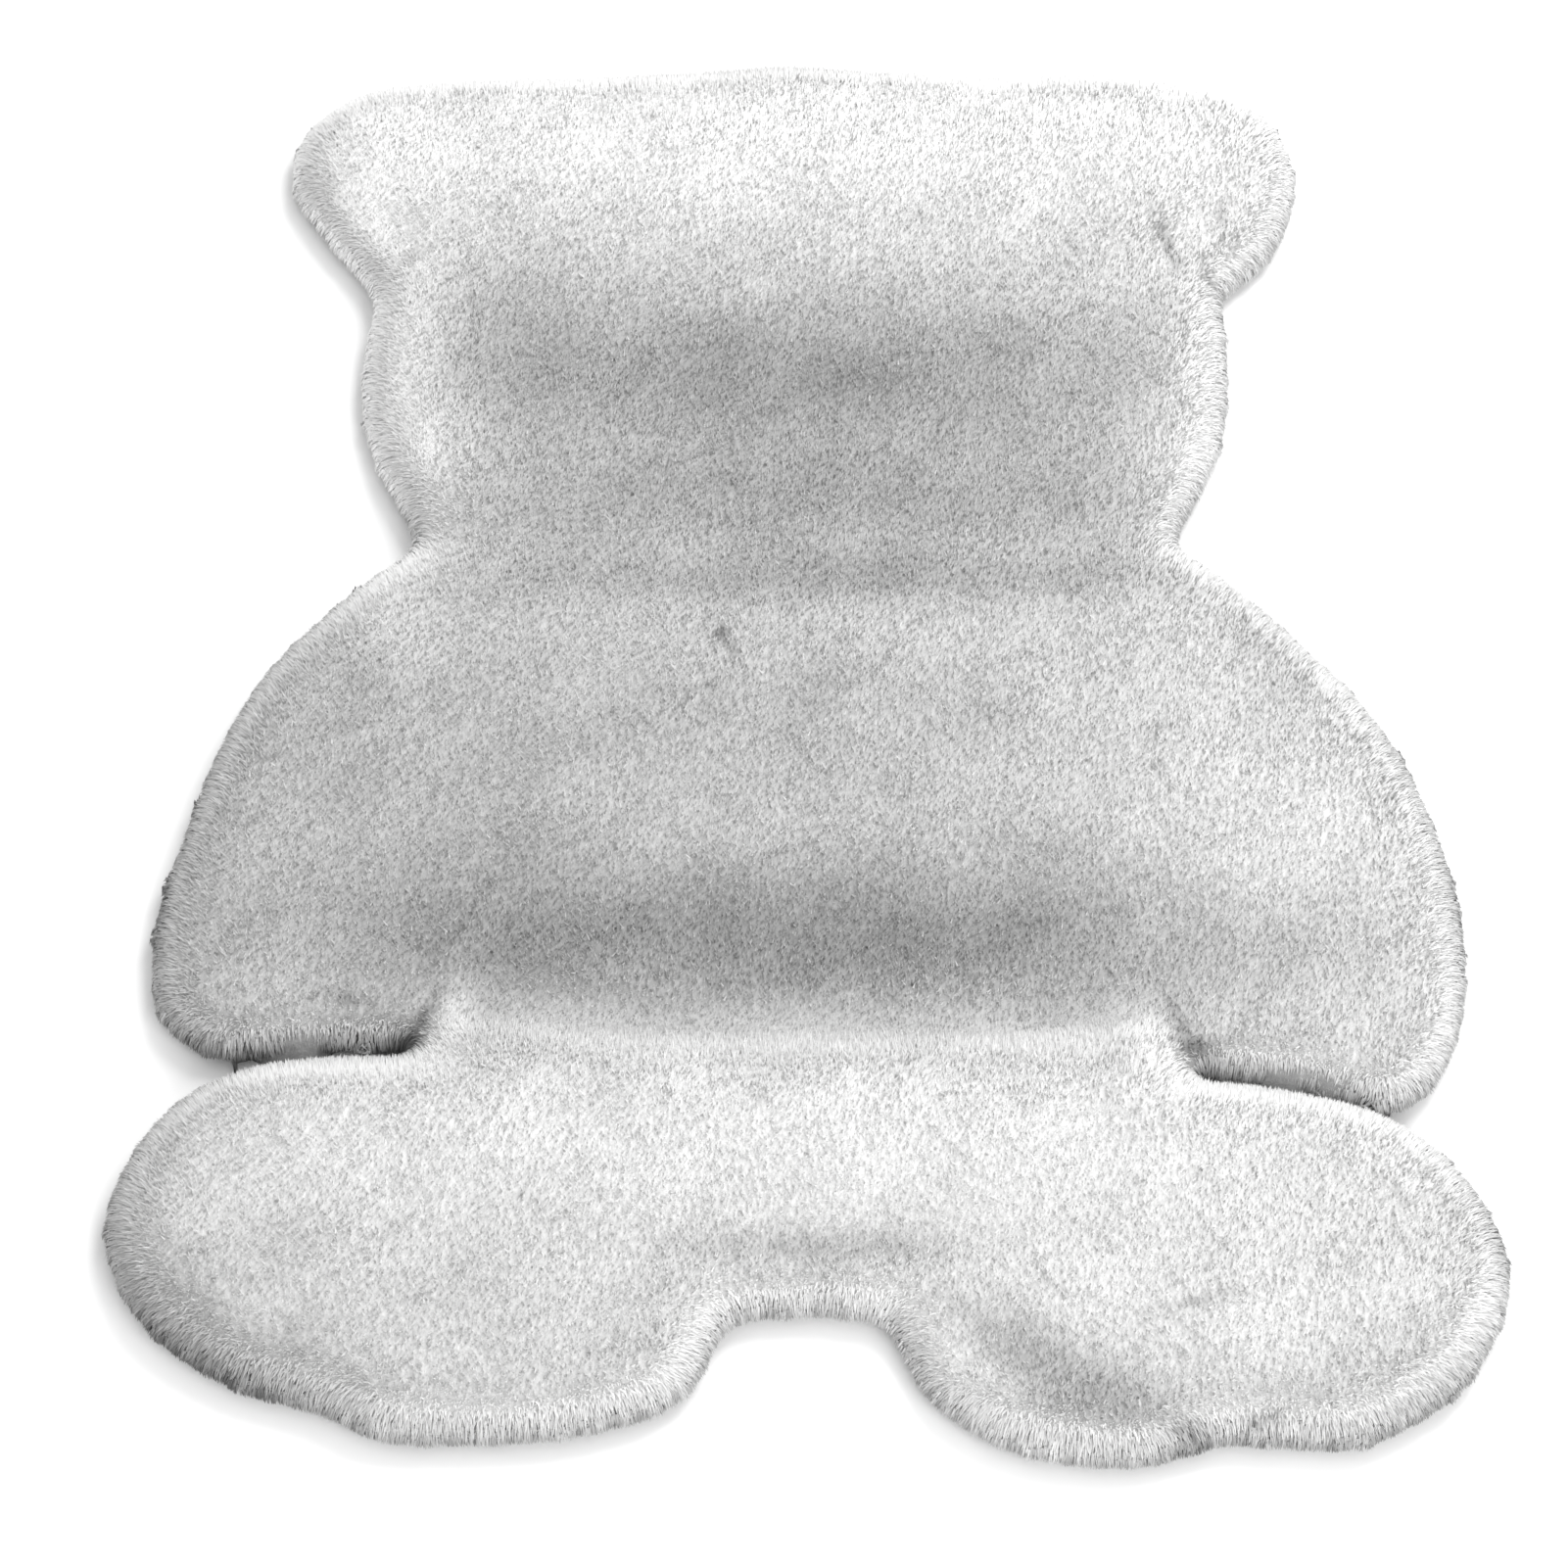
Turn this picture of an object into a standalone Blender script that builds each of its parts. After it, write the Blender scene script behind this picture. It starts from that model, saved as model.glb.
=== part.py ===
"""Bear shaped rug of long white plush, laid flat on a floor.

Metres, +Z up, the head towards +Y. The origin lies under the middle of the rug, on the floor.
The rug is one thick sheet: a plain flat underside, a rim of hanging locks of pile, and a top that
swells and sinks softly where the pile and the cloth under it have settled.
"""

from collections import namedtuple

import bpy
import numpy as np
from mathutils import Vector
from mathutils.geometry import delaunay_2d_cdt

# Thickness of the brushed pile with its backing, and the width over which it rounds off at the rim.
PILE = 0.028
ROUND_OFF = 0.027
# Share of the pile's height at which the rounded edge meets the rim.
RIM_SHARE = 0.20

# Locks of pile that stand out around the rim, and how unevenly their tips reach and lean.
LOCKS = 236
LOCK_REACH_SPREAD = 0.55
LOCK_LEAN = 0.0016
LOCK_DROOP_SPREAD = 0.22
LOCK_WIDTH_SPREAD = 0.30
# Locks crowd together within this distance of a notch, this many times closer than elsewhere.
NOTCH_ZONE = 0.014
NOTCH_CROWDING = 1.6
# A lock has its full reach where the rim faces this much open floor.
OPEN_FLOOR = 0.010

# Spacing of the points along the rim's curve while it is worked out, and how often it is smoothed.
CURVE_STEP = 0.002
NOTCH_SMOOTHING = 7

# Spacing of the points on the top, and of the few that the flat underside needs.
TOP_SPACING = 0.0148
UNDERSIDE_SPACING = 0.070
POINT_SHIFT = 0.0022

# Small lumps of the pile are the sum of long ripples: the way each runs, in degrees from +X, the
# length over which it repeats and its height.
Ripple = namedtuple("Ripple", "turn length height")
RIPPLES = [
    Ripple(14, 0.073, 0.0005),
    Ripple(73, 0.061, 0.0004),
    Ripple(128, 0.096, 0.0008),
    Ripple(-37, 0.067, 0.0005),
    Ripple(101, 0.140, 0.0011),
]

SEED = 11

# The rim, clockwise and seen from above. Each run is one smooth curve through its points (x, y).
# Runs meet in the notches under the ears, at the neck and at the crotch, and a run that ends at
# the inner end of a slit leaves the slit's width to the next one.
RIM_RUNS = {
    "head": [
        (-0.213, 0.254), (-0.245, 0.297), (-0.261, 0.332), (-0.254, 0.365), (-0.226, 0.389),
        (-0.180, 0.396), (-0.112, 0.400), (0.000, 0.407), (0.091, 0.401), (0.188, 0.398),
        (0.218, 0.390), (0.243, 0.368), (0.253, 0.330), (0.242, 0.287), (0.211, 0.253),
    ],
    "right_cheek": [(0.211, 0.253), (0.212, 0.200), (0.204, 0.150), (0.179, 0.095)],
    "right_arm": [
        (0.179, 0.095), (0.233, 0.039), (0.273, -0.018), (0.296, -0.085), (0.301, -0.147),
        (0.290, -0.198), (0.266, -0.224), (0.228, -0.213), (0.172, -0.205),
    ],
    "right_foot": [
        (0.171, -0.211), (0.217, -0.216), (0.262, -0.231), (0.293, -0.262), (0.307, -0.307),
        (0.288, -0.355), (0.243, -0.388), (0.170, -0.390), (0.154, -0.396), (0.094, -0.393),
        (0.052, -0.366), (0.038, -0.330),
    ],
    "crotch": [(0.038, -0.330), (0.002, -0.326), (-0.034, -0.330)],
    "left_foot": [
        (-0.034, -0.330), (-0.050, -0.365), (-0.109, -0.386), (-0.155, -0.388), (-0.184, -0.386),
        (-0.201, -0.376), (-0.248, -0.360), (-0.289, -0.327), (-0.306, -0.283), (-0.291, -0.236),
        (-0.257, -0.206), (-0.215, -0.197), (-0.172, -0.197),
    ],
    "left_arm": [
        (-0.173, -0.191), (-0.228, -0.192), (-0.262, -0.196), (-0.289, -0.178), (-0.296, -0.138),
        (-0.283, -0.065), (-0.258, 0.010), (-0.222, 0.058), (-0.184, 0.095),
    ],
    "left_cheek": [(-0.184, 0.095), (-0.208, 0.144), (-0.218, 0.186), (-0.213, 0.254)],
}

# Rings of the rounded rim, from the floor up. A lock's ridge lies `ridge_inset` inside the rim's
# curve and the groove beside it `groove_inset`; the levels are shares of the pile's height there.
Ring = namedtuple("Ring", "name ridge_inset ridge_level groove_inset groove_level")
RINGS = [
    Ring("hem", 0.0048, 0.00, 0.0048, 0.00),
    Ring("tip", -0.0046, 0.18, 0.0002, 0.34),
    Ring("flank", 0.0002, 0.52, 0.0028, 0.57),
    Ring("shoulder", 0.0065, 0.77, 0.0083, 0.80),
]
# Rows of points on the rounded edge, inside the rings: how far in they lie.
EDGE_ROWS = (0.0175,)

# Swells of the top, and hollows where the height is below zero: the middle, the turn of the long
# axis from +X in degrees, the half-length and half-width at which three fifths of the height are
# left, and the height.
Swell = namedtuple("Swell", "name x y turn half_length half_width height")
SWELLS = [
    Swell("crown_roll", 0.000, 0.352, 0, 0.200, 0.030, 0.006),
    Swell("face_hollow", 0.005, 0.185, 2, 0.150, 0.050, -0.008),
    Swell("left_cheek_roll", -0.185, 0.190, 84, 0.050, 0.018, 0.004),
    Swell("right_cheek_roll", 0.180, 0.190, 94, 0.050, 0.018, 0.004),
    Swell("chest", 0.050, 0.010, -6, 0.170, 0.060, 0.005),
    Swell("left_side_dip", -0.150, -0.020, 62, 0.070, 0.024, -0.003),
    Swell("belly_slope", 0.005, -0.130, 0, 0.150, 0.030, -0.007),
    Swell("waist_crease", 0.000, -0.183, -1, 0.062, 0.010, -0.008),
    Swell("left_waist_crease", -0.112, -0.179, -7, 0.040, 0.009, -0.007),
    Swell("right_waist_crease", 0.110, -0.181, 5, 0.042, 0.009, -0.007),
    Swell("left_hand_edge", -0.225, -0.175, -2, 0.050, 0.020, -0.006),
    Swell("right_hand_edge", 0.225, -0.190, -10, 0.050, 0.020, -0.005),
    Swell("lap", 0.000, -0.222, -1, 0.230, 0.024, 0.007),
    Swell("left_foot_top", -0.185, -0.275, 6, 0.075, 0.045, 0.004),
    Swell("right_foot_top", 0.200, -0.290, -8, 0.070, 0.045, 0.004),
    Swell("right_sole_hollow", 0.120, -0.350, -8, 0.060, 0.018, -0.006),
    Swell("crotch_hollow", 0.005, -0.296, 0, 0.050, 0.011, -0.006),
    Swell("left_ear_crease", -0.205, 0.285, 128, 0.026, 0.008, -0.005),
    Swell("right_ear_crease", 0.200, 0.290, 52, 0.030, 0.009, -0.006),
    Swell("left_neck_crease", -0.165, 0.092, 6, 0.026, 0.010, -0.004),
    Swell("right_neck_crease", 0.155, 0.090, -8, 0.028, 0.010, -0.004),
]
# A hollow narrower than this gets rows of points of its own.
NARROW = 0.012

PLUSH_COLOUR = (0.80, 0.80, 0.79, 1.0)
PLUSH_ROUGHNESS = 0.95


def clear_scene():
    """Removes the objects that the scene starts with."""
    for thing in list(bpy.data.objects):
        bpy.data.objects.remove(thing, do_unlink=True)


def smooth_run(points):
    """Points at CURVE_STEP along a cubic curve through the given ones.

    Between two points the curve is a Hermite cubic. The direction at an inner point is the mean of
    the two chords there, each weighted with the other's length.
    """
    knots = np.array(points)
    spans = np.diff(knots, axis=0)
    chords = np.linalg.norm(spans, axis=1)[:, None]
    slopes = spans / chords
    inner = (slopes[:-1] * chords[1:] + slopes[1:] * chords[:-1]) / (chords[1:] + chords[:-1])
    slopes = np.vstack([slopes[:1], inner, slopes[-1:]])
    pieces = []
    for start, end, go, arrive, chord in zip(knots, knots[1:], slopes, slopes[1:], chords[:, 0]):
        t = np.arange(0.0, 1.0, CURVE_STEP / chord)[:, None]
        pieces.append(
            (2 * t**3 - 3 * t**2 + 1) * start
            + (t**3 - 2 * t**2 + t) * chord * go
            + (3 * t**2 - 2 * t**3) * end
            + (t**3 - t**2) * chord * arrive
        )
    return np.vstack(pieces)


def redrawn(closed, steps, density=1):
    """Closed curve redrawn with a point at each step, closer together where the density is higher."""
    nodes = np.vstack([closed, closed[:1]])
    lengths = np.linalg.norm(np.diff(nodes, axis=0), axis=1) * density
    along = np.concatenate([[0.0], np.cumsum(lengths)])
    wanted = steps * along[-1] / len(steps)
    return np.stack([np.interp(wanted, along, nodes[:, axis]) for axis in (0, 1)], axis=1)


def distance_to(points, curve):
    """Distance from each point to the nearest point of the curve."""
    return np.array([np.hypot(*(curve - point).T).min() for point in points])


def outward(curve):
    """Unit normals of a closed clockwise curve, pointing out of it."""
    tangent = np.roll(curve, -1, axis=0) - np.roll(curve, 1, axis=0)
    tangent /= np.linalg.norm(tangent, axis=1)[:, None]
    return np.stack([-tangent[:, 1], tangent[:, 0]], axis=1)


def rim_curve(random):
    """The rim's closed curve, its notches rounded, with two points for each lock."""
    drawn = np.vstack([smooth_run(points) for points in RIM_RUNS.values()])
    length = np.linalg.norm(drawn - np.roll(drawn, 1, axis=0), axis=1).sum()
    fine = redrawn(drawn, np.arange(int(length / CURVE_STEP)))
    for _ in range(NOTCH_SMOOTHING):
        fine = (np.roll(fine, 1, axis=0) + 2 * fine + np.roll(fine, -1, axis=0)) / 4
    notches = np.array([run[0] for run in RIM_RUNS.values()])
    near = np.exp(-((distance_to(fine, notches) / NOTCH_ZONE) ** 2))
    steps = np.arange(2 * LOCKS) + LOCK_WIDTH_SPREAD * random.uniform(0, 1, 2 * LOCKS)
    return redrawn(fine, steps, 1 + NOTCH_CROWDING * near)


def pile_height(points):
    """Height of the top over each point, away from the rim: the pile, its swells and small lumps."""
    x, y = points[:, 0], points[:, 1]
    height = np.full(len(points), PILE)
    for swell in SWELLS:
        turn = np.radians(swell.turn)
        along = (x - swell.x) * np.cos(turn) + (y - swell.y) * np.sin(turn)
        across = (y - swell.y) * np.cos(turn) - (x - swell.x) * np.sin(turn)
        fall = (along / swell.half_length) ** 2 + (across / swell.half_width) ** 2
        height += swell.height * np.exp(-fall / 2)
    for ripple in RIPPLES:
        turn = np.radians(ripple.turn)
        along = x * np.cos(turn) + y * np.sin(turn)
        height += ripple.height * np.sin(2 * np.pi * along / ripple.length)
    return height


def round_off(inset):
    """Share of the pile's height at a distance inside the rim: a quarter of an ellipse."""
    rest = 1 - np.clip(inset / ROUND_OFF, 0, 1)
    return RIM_SHARE + (1 - RIM_SHARE) * np.sqrt(1 - rest**2)


def rim_rings(curve, random):
    """The four rings of the rim as arrays of points; every other point is a lock's ridge."""
    normal = outward(curve)
    along = np.stack([normal[:, 1], -normal[:, 0]], axis=1)
    open_floor = np.clip(distance_to(curve + OPEN_FLOOR * normal, curve) / OPEN_FLOOR, 0, 1)
    ridge = np.arange(len(curve)) % 2 == 0
    reach = open_floor * (1 + LOCK_REACH_SPREAD * random.uniform(-1, 1, len(curve)))
    lean = open_floor * LOCK_LEAN * random.uniform(-1, 1, len(curve))
    droop = 1 + LOCK_DROOP_SPREAD * random.uniform(-1, 1, len(curve))
    rings = []
    for ring in RINGS:
        inset = np.where(ridge, ring.ridge_inset, ring.groove_inset)
        inset = np.where(inset < 0, inset * reach, inset)
        level = np.where(ridge, ring.ridge_level, ring.groove_level)
        place = curve - inset[:, None] * normal
        if ring.name == "tip":
            place = place + np.where(ridge, lean, 0)[:, None] * along
            level = level * droop
        rings.append(np.column_stack([place, level * pile_height(place)]))
    return rings


def crease_points():
    """Rows of points along each narrow hollow: on its floor, its sides and its two edges."""
    rows = []
    for swell in SWELLS:
        if swell.half_width < NARROW:
            turn = np.radians(swell.turn)
            reach = 1.6 * swell.half_length
            steps = np.linspace(-reach, reach, int(2 * reach / TOP_SPACING) + 2)
            for offset in (-2, -1, 0, 1, 2):
                across = offset * swell.half_width
                rows.append(np.column_stack([
                    swell.x + steps * np.cos(turn) - across * np.sin(turn),
                    swell.y + steps * np.sin(turn) + across * np.cos(turn),
                ]))
    return np.vstack(rows)


def grid_points(spacing, shift, random):
    """Points over the whole rug in staggered rows, each shifted a little."""
    reach = np.abs(np.vstack(list(RIM_RUNS.values()))).max() + spacing
    step = np.arange(-reach, reach, spacing)
    x, y = np.meshgrid(step, step * np.sqrt(0.75))
    x = x + spacing / 2 * (np.arange(len(step)) % 2)[:, None]
    grid = np.column_stack([x.ravel(), y.ravel()])
    return grid + shift * random.uniform(-1, 1, grid.shape)


def inside(points, curve):
    """Which points lie inside the closed curve, from how often a ray along +X crosses it."""
    start, end = curve, np.roll(curve, -1, axis=0)
    found = []
    for x, y in points:
        crossing = (start[:, 1] > y) != (end[:, 1] > y)
        share = (y - start[crossing, 1]) / (end[crossing, 1] - start[crossing, 1])
        hit = start[crossing, 0] + share * (end[crossing, 0] - start[crossing, 0])
        found.append(np.count_nonzero(hit > x) % 2 == 1)
    return np.array(found)


def spread_out(groups, curve):
    """Inner points from groups of (points, least inset, least gap), each clear of those before."""
    kept = np.empty((0, 2))
    for points, least_inset, least_gap in groups:
        points = points[inside(points, curve)]
        points = points[distance_to(points, curve) > least_inset]
        for point in points:
            if len(kept) == 0 or np.hypot(*(kept - point).T).min() > least_gap:
                kept = np.vstack([kept, point])
    return kept


def fill(loop, inner):
    """Triangles between a closed loop and the points inside it, as indices into both together."""
    flat = [Vector(point) for point in np.vstack([loop, inner])]
    edges = [(n, (n + 1) % len(loop)) for n in range(len(loop))]
    _, _, faces, origins, _, _ = delaunay_2d_cdt(flat, edges, [], 1, 1e-7)
    return [tuple(origins[corner][0] for corner in face) for face in faces]


def facing(faces, points, up):
    """The faces turned so that they all look up, or all look down."""
    turned = []
    for a, b, c in faces:
        (ax, ay), (bx, by), (cx, cy) = points[a], points[b], points[c]
        looks_up = (bx - ax) * (cy - ay) - (by - ay) * (cx - ax) > 0
        turned.append((a, b, c) if looks_up == up else (c, b, a))
    return turned


def rug_mesh():
    """Points and faces of the rug: the rings, the top filled in and the underside filled in."""
    random = np.random.default_rng(SEED)
    curve = rim_curve(random)
    rings = rim_rings(curve, random)
    count = len(curve)
    normal = outward(curve)

    edge_rows = np.vstack([(curve - inset * normal)[::2] for inset in EDGE_ROWS])
    top_inner = spread_out([
        (edge_rows, 0.9 * min(EDGE_ROWS), 0.5 * TOP_SPACING),
        (crease_points(), 0.7 * ROUND_OFF, 0.45 * TOP_SPACING),
        (grid_points(TOP_SPACING, POINT_SHIFT, random), 0.95 * ROUND_OFF, 0.62 * TOP_SPACING),
    ], curve)
    inset = distance_to(top_inner, curve)
    top = np.column_stack([top_inner, pile_height(top_inner) * round_off(inset)])

    under_inner = spread_out([
        (grid_points(UNDERSIDE_SPACING, 0, random), ROUND_OFF, 0.5 * UNDERSIDE_SPACING),
    ], curve)
    under = np.column_stack([under_inner, np.zeros(len(under_inner))])

    points = np.vstack(rings + [top, under])
    faces = []
    for lower in range(len(rings) - 1):
        for n in range(count):
            m = (n + 1) % count
            a, b = lower * count + n, lower * count + m
            c, d = a + count, b + count
            faces += [(b, a, c), (b, c, d)] if n % 2 else [(a, c, d), (b, a, d)]

    shoulder = (len(rings) - 1) * count
    top_names = list(range(shoulder, shoulder + count + len(top)))
    hem_names = list(range(count)) + list(range(len(points) - len(under), len(points)))
    for names, up in ((top_names, True), (hem_names, False)):
        flat = points[names][:, :2]
        filled = facing(fill(flat[:count], flat[count:]), flat, up)
        faces += [tuple(names[corner] for corner in face) for face in filled]

    middle = (points[:, :2].min(axis=0) + points[:, :2].max(axis=0)) / 2
    points[:, :2] -= middle
    return points, faces


def plush_material():
    """White plush: pale, matt, neither metallic nor glossy."""
    material = bpy.data.materials.new("plush")
    material.use_nodes = True
    shader = material.node_tree.nodes["Principled BSDF"]
    shader.inputs["Base Color"].default_value = PLUSH_COLOUR
    shader.inputs["Roughness"].default_value = PLUSH_ROUGHNESS
    shader.inputs["Metallic"].default_value = 0.0
    material.diffuse_color = PLUSH_COLOUR
    return material


def make_rug():
    """The whole rug as one object."""
    points, faces = rug_mesh()
    mesh = bpy.data.meshes.new("plush_rug")
    mesh.from_pydata(points.tolist(), [], faces)
    mesh.validate()
    mesh.shade_smooth()
    mesh.materials.append(plush_material())
    rug = bpy.data.objects.new("plush_rug", mesh)
    bpy.context.scene.collection.objects.link(rug)
    return rug


clear_scene()
make_rug()
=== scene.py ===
"""Bear shaped plush rug laid on a pale floor: its backing cloth, the dense bed of its pile, and the
wisps of pile that grow from it, region by region."""

import math
from collections import namedtuple

import bmesh
import bpy
import numpy as np
from bpy.props import FloatProperty, FloatVectorProperty, PointerProperty
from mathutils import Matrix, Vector


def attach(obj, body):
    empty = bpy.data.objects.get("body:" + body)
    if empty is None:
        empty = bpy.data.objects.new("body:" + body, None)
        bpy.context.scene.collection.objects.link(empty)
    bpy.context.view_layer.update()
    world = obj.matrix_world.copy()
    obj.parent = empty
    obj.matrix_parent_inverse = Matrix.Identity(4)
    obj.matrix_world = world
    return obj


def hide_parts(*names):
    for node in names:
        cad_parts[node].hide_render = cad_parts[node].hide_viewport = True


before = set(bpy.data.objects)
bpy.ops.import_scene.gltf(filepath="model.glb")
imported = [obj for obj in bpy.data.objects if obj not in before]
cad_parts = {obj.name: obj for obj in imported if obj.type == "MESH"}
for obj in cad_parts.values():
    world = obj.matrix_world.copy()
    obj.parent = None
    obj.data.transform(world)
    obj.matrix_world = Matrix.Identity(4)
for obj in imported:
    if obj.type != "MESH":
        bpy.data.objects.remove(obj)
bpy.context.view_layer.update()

bl_info = {
    "name": "Plush Bear Rug",
    "version": (1, 0, 0),
    "blender": (4, 5, 0),
    "location": "3D View > Sidebar > Plush Rug",
    "description": "Grows the plush pile of a bear shaped rug on its solid and sets it on a floor",
    "category": "Add Mesh",
}

RUG = "plush_rug"
BODY = "root"
SEED = 5

# Regions that the wisps are parted into, from the feet to the crown: name, lowest y, side. A wisp
# belongs to the last region whose floor lies below it; side parts a region at x = 0.
Region = namedtuple("Region", "name low side")
REGIONS = [
    Region("pile_left_foot", -1.0, -1),
    Region("pile_right_foot", -1.0, 1),
    Region("pile_left_arm", -0.195, -1),
    Region("pile_right_arm", -0.195, 1),
    Region("pile_chest", -0.045, 0),
    Region("pile_face", 0.100, 0),
    Region("pile_crown", 0.262, 0),
]

# Patches where the pile is painted lighter or darker: painted light and shade, as lit and shaded
# bands over the rug and lit or shaded rims, which the pile's colour doesn't have. Each has the
# middle, the turn of the long axis from +X in degrees, the half-length, the half-width and the change
# of tone, where 1 is the tone of the lightest pile. Places and tones follow the photograph, its soft
# shading included.
Patch = namedtuple("Patch", "name x y turn half_length half_width light")
PLAIN_TONE = 0.727
PAINTED_SHADING_PATCHES = [
    Patch("crown", 0.000, 0.340, 0, 0.230, 0.035, 0.24),
    Patch("left_ear", -0.235, 0.315, 60, 0.035, 0.020, 0.14),
    Patch("right_ear", 0.225, 0.325, 110, 0.030, 0.018, 0.02),
    Patch("brow", 0.000, 0.260, 0, 0.160, 0.028, 0.02),
    Patch("face", -0.005, 0.190, 0, 0.135, 0.038, -0.33),
    Patch("left_face", -0.150, 0.215, 70, 0.040, 0.025, -0.10),
    Patch("chin", 0.010, 0.105, 0, 0.120, 0.028, -0.25),
    Patch("neck", 0.020, 0.056, 0, 0.110, 0.012, -0.20),
    Patch("left_cheek", -0.195, 0.150, 95, 0.090, 0.020, 0.30),
    Patch("right_cheek", 0.200, 0.150, 82, 0.090, 0.022, 0.23),
    Patch("left_shoulder", -0.190, 0.010, 55, 0.080, 0.035, -0.11),
    Patch("right_shoulder", 0.210, 0.030, -50, 0.080, 0.035, -0.12),
    Patch("chest", -0.010, -0.030, 0, 0.100, 0.040, -0.14),
    Patch("left_side", -0.150, -0.100, 80, 0.060, 0.040, -0.12),
    Patch("belly", 0.010, -0.145, 0, 0.160, 0.030, -0.39),
    Patch("waist", -0.010, -0.198, 0, 0.160, 0.010, -0.08),
    Patch("left_arm", -0.230, -0.080, 70, 0.080, 0.040, -0.07),
    Patch("left_hand", -0.255, -0.165, 15, 0.045, 0.018, 0.04),
    Patch("right_arm", 0.260, -0.090, -70, 0.090, 0.045, 0.12),
    Patch("right_side", 0.185, -0.115, 0, 0.025, 0.025, 0.09),
    Patch("lap", 0.000, -0.250, 0, 0.260, 0.035, 0.16),
    Patch("lap_middle", 0.060, -0.275, 0, 0.070, 0.025, 0.04),
    Patch("left_toe", -0.300, -0.245, 60, 0.050, 0.018, -0.19),
    Patch("left_sole", -0.150, -0.345, 0, 0.080, 0.025, 0.02),
    Patch("left_heel", -0.285, -0.330, -40, 0.080, 0.020, -0.07),
    Patch("right_sole", 0.150, -0.335, 0, 0.070, 0.025, 0.13),
    Patch("right_sole_hollow", 0.112, -0.367, -31, 0.042, 0.0125, -0.30),
    Patch("right_instep", 0.058, -0.356, -50, 0.030, 0.010, 0.26),
    Patch("left_instep", -0.055, -0.342, 50, 0.030, 0.010, -0.01),
    Patch("right_ear_side", 0.215, 0.245, 90, 0.020, 0.012, -0.03),
    Patch("left_arm_rim", -0.288, -0.100, 72, 0.070, 0.010, -0.08),
    Patch("right_arm_rim", 0.292, -0.070, -75, 0.100, 0.010, -0.18),
    Patch("left_tab", -0.160, -0.193, 80, 0.014, 0.007, 0.34),
    Patch("right_foot_top", 0.238, -0.2340, -12, 0.050, 0.006, -0.12),
    Patch("right_tab", 0.155, -0.199, 100, 0.014, 0.007, 0.20),
    Patch("right_toe_rim", 0.300, -0.275, -70, 0.050, 0.012, -0.22),
    Patch("right_heel_rim", 0.270, -0.380, 30, 0.050, 0.012, -0.18),
    Patch("left_head_rim", -0.214, 0.170, 93, 0.070, 0.011, 0.36),
    Patch("left_ear_rim", -0.233, 0.268, -51, 0.030, 0.011, 0.36),
    Patch("left_ear_side", -0.253, 0.341, 73, 0.024, 0.011, 0.30),
    Patch("top_rim", 0.000, 0.402, 0, 0.190, 0.007, -0.30),
    Patch("left_corner_rim", -0.262, -0.368, -32, 0.050, 0.012, -0.35),
    Patch("right_front_rim", 0.150, -0.404, 0, 0.070, 0.010, 0.06),
    Patch("left_front_rim", -0.150, -0.388, 0, 0.070, 0.010, 0.02),
]

# Narrow lines and small pits of the pile: its partings, folds and pits, the crotch and the pockets,
# darkened with painted shade, and its marks, small darker spots. Along the slits, the rows at the
# hands' edges get painted shade, and some rows are a little lighter with painted light.
CREASES = [
    Patch("chest_parting", -0.037, 0.018, -64, 0.007, 0.0016, -0.50),
    Patch("left_hand_parting", -0.207, -0.176, -20, 0.008, 0.0014, -0.30),
    Patch("right_ear_parting", 0.185, 0.274, -72, 0.013, 0.0020, -0.38),
    Patch("right_ear_mark", 0.212, 0.293, 74, 0.005, 0.0018, -0.28),
    Patch("right_ear_fold", 0.206, 0.2525, -57, 0.005, 0.0022, -0.38),
    Patch("left_ear_fold", -0.196, 0.262, 40, 0.010, 0.0018, -0.30),
    Patch("left_ear_mark", -0.232, 0.3315, 55, 0.004, 0.0016, -0.30),
    Patch("left_ear_pit", -0.2437, 0.3136, 43, 0.003, 0.0018, -0.35),
    Patch("right_foot_top_parting", 0.176, -0.275, -40, 0.006, 0.0014, -0.25),
    Patch("right_foot_parting", 0.166, -0.335, 10, 0.010, 0.0015, -0.30),
    Patch("right_foot_side_parting", 0.258, -0.280, -50, 0.008, 0.0014, -0.25),
    Patch("crotch", 0.004, -0.304, 0, 0.042, 0.0060, -0.24),
    Patch("left_slit", -0.228, -0.1985, 7, 0.050, 0.0040, 0.10),
    Patch("right_slit", 0.230, -0.2205, -12, 0.046, 0.0040, 0.08),
    Patch("left_hand_rim", -0.230, -0.1935, 6, 0.045, 0.0040, -0.14),
    Patch("right_hand_rim", 0.232, -0.2165, -12, 0.042, 0.0040, -0.14),
    Patch("left_lap_corner", -0.171, -0.185, 61, 0.009, 0.0026, -0.36),
    Patch("left_pocket", -0.178, -0.197, 0, 0.005, 0.0035, -0.45),
    Patch("right_pocket", 0.176, -0.205, 0, 0.006, 0.0040, -0.50),
    Patch("right_lap_corner", 0.169, -0.191, 106, 0.009, 0.0026, -0.36),
    Patch("right_front_notch", 0.163, -0.393, 0, 0.006, 0.0030, -0.35),
    Patch("right_front_mark", 0.191, -0.389, 0, 0.003, 0.0020, -0.35),
    Patch("right_front_pit", 0.1996, -0.3875, 17, 0.003, 0.0020, -0.35),
]

# Slits between the hands and the feet, where the dense bed ends: the middle, the turn from +X in
# degrees and the half-length of each.
Slit = namedtuple("Slit", "name x y turn half_length")
SLITS = [
    Slit("left", -0.229, -0.2020, 7, 0.052),
    Slit("right", 0.226, -0.2236, -12, 0.053),
]
# How far the open slit reaches to each side of its line.
SLIT_HALF_WIDTH = 0.0045
# How dark the bed is in a slit, how far to each side, and how far along as a share of its half.
SLIT_SHADE = 0.7
SLIT_SHADE_WIDTH = 0.010
SLIT_SHADE_LENGTH = 1.25
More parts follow.
